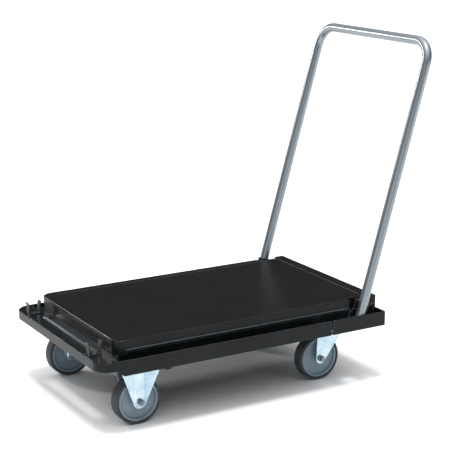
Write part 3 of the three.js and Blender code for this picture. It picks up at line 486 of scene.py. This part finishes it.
def handle_tube():
    """The bent tube, with a round section of fine steps and open ends."""
    pivot = Vector(JOINTS["handle_fold"]["pos_m"])
    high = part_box("handle_tube")[1]
    up = Vector((high[0] - TUBE_RADIUS, 0, high[2] - TUBE_RADIUS)) - pivot
    stations = tube_stations(high[1] - TUBE_RADIUS, up.length)
    up.normalize()
    across = Vector((0, 1, 0))
    side = up.cross(across)
    bm = bmesh.new()

    def ring(station, radius):
        y, z, (ty, tz) = station
        centre = pivot + across * y + up * z
        out = across * -tz + up * ty
        angles = [2 * math.pi * k / TUBE_FACETS for k in range(TUBE_FACETS)]
        return [
            bm.verts.new(centre + side * radius * math.cos(a) + out * radius * math.sin(a))
            for a in angles
        ]

    def bridge(first, second):
        for k in range(TUBE_FACETS):
            n = (k + 1) % TUBE_FACETS
            bm.faces.new((first[k], first[n], second[n], second[k]))

    outer, inner = ([ring(s, r) for s in stations] for r in (TUBE_RADIUS, TUBE_RADIUS - TUBE_WALL))
    for rings in (outer, inner):
        for pair in zip(rings, rings[1:]):
            bridge(*pair)
    for end in (0, -1):
        bridge(outer[end], inner[end])
    obj = object_from_bmesh("bent_tube", bm)
    smooth_by_angle(obj, 50)
    return obj


# ---------------------------------------------------------------- casters
AXLE_RADIUS = 5 * MM
WHEEL_STEPS = 120


def wheel(name, body):
    """The core and its tyre, turned finer than the CAD solids they stand for."""
    tyre_low, tyre_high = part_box(f"{name}_tyre")
    centre = (Vector(tyre_low) + Vector(tyre_high)) / 2
    radius = (tyre_high[2] - tyre_low[2]) / 2
    half = (tyre_high[1] - tyre_low[1]) / 2
    core_low, core_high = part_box(f"{name}_wheel_core")
    seat = (core_high[2] - core_low[2]) / 2
    rim = half - 1.5 * MM
    tread = [(seat + 0.3 * MM, -rim + 0.5 * MM)]
    tread += [(radius - 5.0 * MM, -half)]
    tread += arc(radius - 4.5 * MM, -half + 4.5 * MM, 4.5 * MM, -80, 0, 8)
    tread += [(radius - 0.15 * MM, -half * 0.3), (radius, 0), (radius - 0.15 * MM, half * 0.3)]
    tread += arc(radius - 4.5 * MM, half - 4.5 * MM, 4.5 * MM, 0, 80, 8)
    tread += [(radius - 5.0 * MM, half), (seat + 0.3 * MM, rim - 0.5 * MM)]
    tyre = lathe(f"{name}_tyre_ring", tread, centre, WHEEL_STEPS)
    finish_with(tyre, MATERIALS["tyre"])
    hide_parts(f"{name}_tyre")
    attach(tyre, body)

    bore = AXLE_RADIUS + CLEARANCE
    face = [
        (bore, half),
        (11.5 * MM, half),
        (12.5 * MM, half - 0.8 * MM),
        (13.5 * MM, 8.5 * MM),
        (16.0 * MM, 7.2 * MM),
        (seat - 17 * MM, 6.6 * MM),
        (seat - 9.5 * MM, 7.6 * MM),
        (seat - 7.5 * MM, 9.0 * MM),
        (seat - 6.2 * MM, rim - 1.2 * MM),
        (seat - 5.4 * MM, rim - 0.3 * MM),
        (seat - 4.4 * MM, rim),
        (seat - 1.0 * MM, rim),
        (seat - 0.2 * MM, rim - 0.8 * MM),
    ]
    profile = face + [(r, -h) for r, h in reversed(face)]
    core = lathe(f"{name}_core", profile, centre, WHEEL_STEPS)
    finish_with(core, MATERIALS["core"])
    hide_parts(f"{name}_wheel_core")
    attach(core, body)


def rib_edge_of(fork):
    """A test for the outer edge of the raised ribs down a rigid fork's two legs."""
    centre = middle(fork)
    side = "left" if centre.y < 0 else "right"
    nut_seat = min(abs(abs(c[1]) - abs(centre.y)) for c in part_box(f"rigid_{side}_axle_nut"))

    def chosen(spot, normals):
        on_leg = abs(abs(spot.y - centre.y) - (nut_seat - CLEARANCE)) < 0.2 * MM
        return on_leg and max(abs(n.y) for n in normals) > 0.9

    return chosen


def make_casters():
    for side in SIDES:
        wheel(f"rigid_{side}", f"rigid_{side}_wheel")
        wheel(f"swivel_{side}", f"swivel_{side}_wheel")
        node = f"rigid_{side}_fork"
        fork = softened(node, 0.4 * MM, ((rib_edge_of(node), 2.7 * MM, 1),))
        finish_with(fork, MATERIALS["zinc"])
        fork = softened(f"swivel_{side}_fork", 0.6 * MM)
        finish_with(fork, MATERIALS["zinc"])


# ---------------------------------------------------------------- the rest keeps its CAD shape
def dress_remaining():
    looks = {
        "black_plastic": "plastic",
        "clip_plastic": "clip",
        "handle_steel": "tube",
        "black_steel": "foot",
        "zinc_plate": "zinc",
        "fastener_zinc": "bolt",
        "tread_rubber": "tyre",
        "wheel_plastic": "core",
    }
    for row in frame["record"]["subparts"]:
        obj = frame["nodes"][row["node"]]
        material = MATERIALS[looks[row["material_slot"]]]
        if obj.data.materials:
            obj.data.materials[0] = material
        else:
            obj.data.materials.append(material)


# ---------------------------------------------------------------- studio
def make_floor():
    bm = bmesh.new()
    bmesh.ops.create_grid(bm, x_segments=1, y_segments=1, size=12)
    floor = object_from_bmesh("floor", bm)
    m = Material("floor_paper", 0.95, specular=0.0)
    speck = m.noise(400.0, 2.0)
    m.set(colour=m.mix(speck, [0.88, 0.88, 0.88, 1], [0.9, 0.9, 0.9, 1]))
    floor.data.materials.append(m.material)


def area_light(name, place, aim, size, power, colour=(1, 1, 1)):
    light = bpy.data.lights.new(name, "AREA")
    light.shape = "RECTANGLE"
    light.size, light.size_y = size
    light.energy = power
    light.color = colour
    obj = bpy.data.objects.new(name, light)
    bpy.context.scene.collection.objects.link(obj)
    obj.location = place
    obj.rotation_euler = (Vector(aim) - Vector(place)).to_track_quat("-Z", "Y").to_euler()


HORIZON = (0.42, (0.03, 0.032, 0.035, 1))  # height on the sky's ramp, and its light there
ZENITH = (0.8, (1.75, 1.77, 1.8, 1))


def make_world():
    """A white surround for the eye; as a light it is dim near the horizon and brighter overhead."""
    world = bpy.data.worlds.new("studio")
    bpy.context.scene.world = world
    world.use_nodes = True
    tree = world.node_tree
    seen = tree.nodes["Background"]
    seen.inputs["Color"].default_value = (1.0, 1.0, 1.0, 1)
    seen.inputs["Strength"].default_value = 1.0
    light = tree.nodes.new("ShaderNodeBackground")
    place = tree.nodes.new("ShaderNodeTexCoord")
    split = tree.nodes.new("ShaderNodeSeparateXYZ")
    ramp = tree.nodes.new("ShaderNodeValToRGB")
    for element, (position, colour) in zip(ramp.color_ramp.elements, (HORIZON, ZENITH)):
        element.position, element.color = position, colour
    path = tree.nodes.new("ShaderNodeLightPath")
    choice = tree.nodes.new("ShaderNodeMixShader")
    link = tree.links.new
    link(place.outputs["Generated"], split.inputs[0])
    link(split.outputs["Z"], ramp.inputs[0])
    link(ramp.outputs["Color"], light.inputs["Color"])
    link(path.outputs["Is Camera Ray"], choice.inputs[0])
    link(light.outputs[0], choice.inputs[1])
    link(seen.outputs[0], choice.inputs[2])
    link(choice.outputs[0], tree.nodes["World Output"].inputs[0])


def sun_light(name, towards, strength, degrees):
    light = bpy.data.lights.new(name, "SUN")
    light.energy = strength
    light.angle = math.radians(degrees)
    obj = bpy.data.objects.new(name, light)
    bpy.context.scene.collection.objects.link(obj)
    obj.rotation_euler = Vector(towards).to_track_quat("-Z", "Y").to_euler()


def make_lights():
    make_world()
    centre = (cad_box[0] + cad_box[1]) / 2
    low = Vector((centre.x, centre.y, 0.1))
    tube = centre + Vector((0.4, 0, 0.1))
    sun_light("overhead", (0.1, 0.12, -1), 1.75, 12)
    area_light("tube_strip", centre + Vector((1.2, -2.9, 0.4)), tube, (0.2, 2.6), 5)
    area_light("back_edge", centre + Vector((-1.65, 3.1, 1.25)), centre, (0.4, 0.35), 38)
    area_light("left_card", centre + Vector((-2.7, -2.6, 0.1)), low, (3.4, 2.2), 30)
    area_light("right_fill", centre + Vector((2.9, -2.4, -0.3)), low, (1.4, 0.5), 6, (0.86, 0.95, 1))


CAMERA_PLACE = Vector((-1720.5, -3061, 1306)) * MM
CAMERA_YAW = 30.48
CAMERA_PITCH = 14.08
CAMERA_LENS = 109.2


def make_camera():
    """A three-quarter view from the front left, placed from the middle of the platform."""
    camera = bpy.data.cameras.new("camera")
    camera.lens = CAMERA_LENS
    camera.sensor_width = 36
    bpy.context.scene.view_settings.view_transform = "Standard"
    obj = bpy.data.objects.new("camera", camera)
    bpy.context.scene.collection.objects.link(obj)
    bpy.context.scene.camera = obj
    platform_x = (TRAY_LOW.x + HOUSING_HIGH.x) / 2
    obj.location = CAMERA_PLACE + Vector((platform_x, 0, 0))
    yaw, pitch = math.radians(CAMERA_YAW), math.radians(CAMERA_PITCH)
    level = Vector((math.sin(yaw), math.cos(yaw), 0))
    forward = level * math.cos(pitch) - Vector((0, 0, math.sin(pitch)))
    obj.rotation_euler = forward.to_track_quat("-Z", "Y").to_euler()


# ---------------------------------------------------------------- build
make_camera()
make_lights()
make_floor()
make_base()
make_deck()
make_handle()
make_casters()
dress_remaining()
